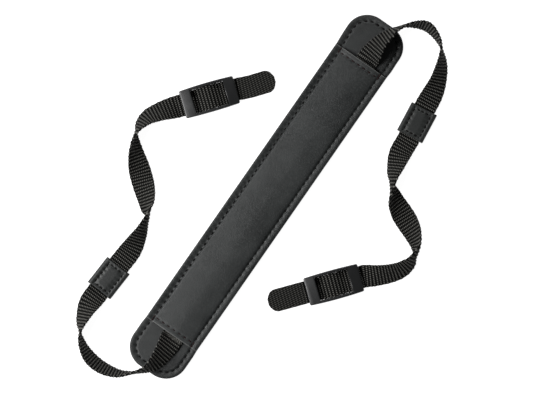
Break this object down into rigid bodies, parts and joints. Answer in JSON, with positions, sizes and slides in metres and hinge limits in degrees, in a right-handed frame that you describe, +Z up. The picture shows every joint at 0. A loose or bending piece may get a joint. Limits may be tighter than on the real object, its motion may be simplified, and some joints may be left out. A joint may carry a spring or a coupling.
{
  "type": "laptop carry strap",
  "caption": "Padded leather shoulder strap with a stitched sleeve, woven webbing at each end, leather keepers and slider buckles with short free tails.",
  "frame": {"origin": "middle of the flat underside of the shoulder pad", "axes": "+X along the pad, +Y across it, +Z up from the surface that the strap lies on"},
  "size_m": [0.3148, 0.2075, 0.0188],
  "materials": {
    "leather": "dark grey grained leather, satin",
    "webbing": "black woven ribbed webbing, matt",
    "plastic": "black moulded plastic, fine matt texture"
  },
  "bodies": {
    "root": {"pad_base": "leather", "pad_sleeve": "leather", "webbing_a": "webbing", "webbing_b": "webbing", "keeper_a": "leather", "keeper_b": "leather", "buckle_a": "plastic", "buckle_b": "plastic"}
  },
  "joints": []
}
